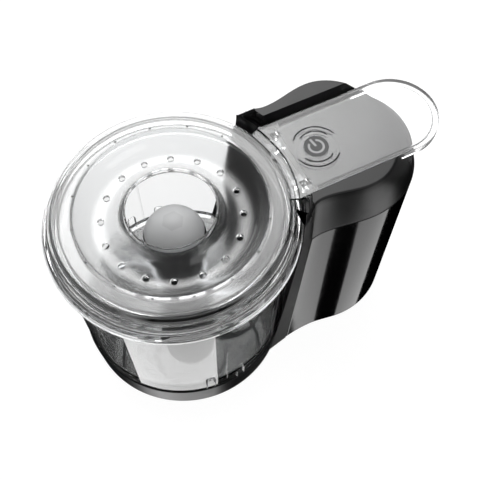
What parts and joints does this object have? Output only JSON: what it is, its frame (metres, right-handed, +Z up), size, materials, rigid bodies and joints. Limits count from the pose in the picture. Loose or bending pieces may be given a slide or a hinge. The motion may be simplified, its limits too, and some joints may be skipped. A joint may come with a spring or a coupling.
{
  "type": "electric food chopper",
  "caption": "Compact electric food chopper: clear bowl and lid on a black base, with a motor column beside it and a clear press paddle that pulses the blades.",
  "frame": {"origin": "On the table, under the middle of the outline seen from above.", "axes": "+X to the right of someone facing the bowl from the column's far side, +Y from the bowl towards the motor column, +Z up."},
  "size_m": [0.123, 0.203, 0.125],
  "materials": {
    "black_gloss": "polished black moulding",
    "black_satin": "satin black moulding",
    "dark_panel": "smooth dark grey moulding",
    "clear_plastic": "clear polished moulding",
    "hub_grey": "satin grey moulding",
    "blade_steel": "ground steel",
    "plain_steel": "turned steel",
    "spring_steel": "drawn wire",
    "bronze": "sintered bronze",
    "copper": "enamelled copper wire",
    "black_rubber": "moulded rubber",
    "can_steel": "zinc plated sheet",
    "cast_zinc": "die cast",
    "dark_magnet": "sintered ferrite",
    "core_iron": "stacked sheet iron",
    "carbon": "pressed carbon",
    "moulded_white": "unpainted moulding",
    "moulded_dark": "unpainted moulding",
    "board_green": "lacquered board",
    "plunger_red": "unpainted moulding"
  },
  "bodies": {
    "base": {"base_platform": "black_gloss", "motor_housing": "black_gloss", "cradle": "black_gloss", "upper_cover": "black_satin", "top_panel": "dark_panel", "bottom_cover": "black_satin", "feet": "black_rubber", "bottom_screws": "plain_steel", "platform_screws": "plain_steel", "cord_grommet": "black_rubber", "spindle_bush_lower": "bronze", "spindle_bush_upper": "bronze", "spindle_seal": "black_rubber", "drive_belt": "black_rubber", "motor_can": "can_steel", "motor_lower_cap": "cast_zinc", "motor_upper_cap": "moulded_dark", "motor_magnets": "dark_magnet", "motor_bush_lower": "bronze", "motor_bush_upper": "bronze", "brushes": "carbon", "motor_mount_ring": "moulded_dark", "motor_screws": "plain_steel", "switch_body": "moulded_dark", "switch_bracket": "can_steel", "switch_screws": "plain_steel", "rectifier_board": "board_green", "rectifier_block": "moulded_dark", "suppressor_coil": "copper", "board_screws": "plain_steel", "button_spring": "spring_steel"},
    "spindle": {"drive_spindle": "plain_steel", "spindle_pulley": "moulded_white", "retaining_ring": "spring_steel", "thrust_washer": "plain_steel"},
    "rotor": {"motor_shaft": "plain_steel", "rotor_core": "core_iron", "rotor_windings": "copper", "commutator": "copper", "motor_fan": "moulded_dark", "motor_pulley": "cast_zinc"},
    "button": {"pulse_button": "black_gloss", "button_collar": "moulded_dark", "switch_plunger": "plunger_red"},
    "bowl": {"bowl": "clear_plastic"},
    "blade": {"blade_hub": "hub_grey", "lower_blade": "blade_steel", "upper_blade": "blade_steel"},
    "lid": {"lid": "clear_plastic", "paddle_pins": "clear_plastic"},
    "paddle": {"paddle": "clear_plastic"}
  },
  "joints": [
    {"name": "bowl_lift", "type": "slide", "parent": "base", "child": "bowl", "axis": [0, 0, 1], "range_m": [0, 0.12]},
    {"name": "lid_lift", "type": "slide", "parent": "bowl", "child": "lid", "axis": [0, 0, 1], "range_m": [0, 0.06]},
    {"name": "paddle_press", "type": "hinge", "parent": "lid", "child": "paddle", "pos_m": [0, 0.02205, 0.1148], "axis": [-1, 0, 0], "range_deg": [0, 2.5], "stiffness_Nm_per_rad": 0.6, "springref_deg": -5.73},
    {"name": "button_press", "type": "slide", "parent": "base", "child": "button", "axis": [0, 0, -1], "range_m": [0, 0.0008], "deforming": ["button_spring"]},
    {"name": "motor_spin", "type": "hinge", "parent": "base", "child": "rotor", "pos_m": [0, 0.04775, 0.05], "axis": [0, 0, 1], "continuous": true},
    {"name": "spindle_spin", "type": "hinge", "parent": "base", "child": "spindle", "pos_m": [0, -0.03995, 0.05], "axis": [0, 0, 1], "continuous": true},
    {"name": "blade_spin", "type": "hinge", "parent": "bowl", "child": "blade", "pos_m": [0, -0.03995, 0.05], "axis": [0, 0, 1], "continuous": true}
  ],
  "couplings": [
    {"joint": "button_press", "follows": "paddle_press", "m_per_rad": 0.0155},
    {"joint": "spindle_spin", "follows": "motor_spin", "ratio": 0.33333},
    {"joint": "blade_spin", "follows": "motor_spin", "ratio": 0.33333}
  ]
}
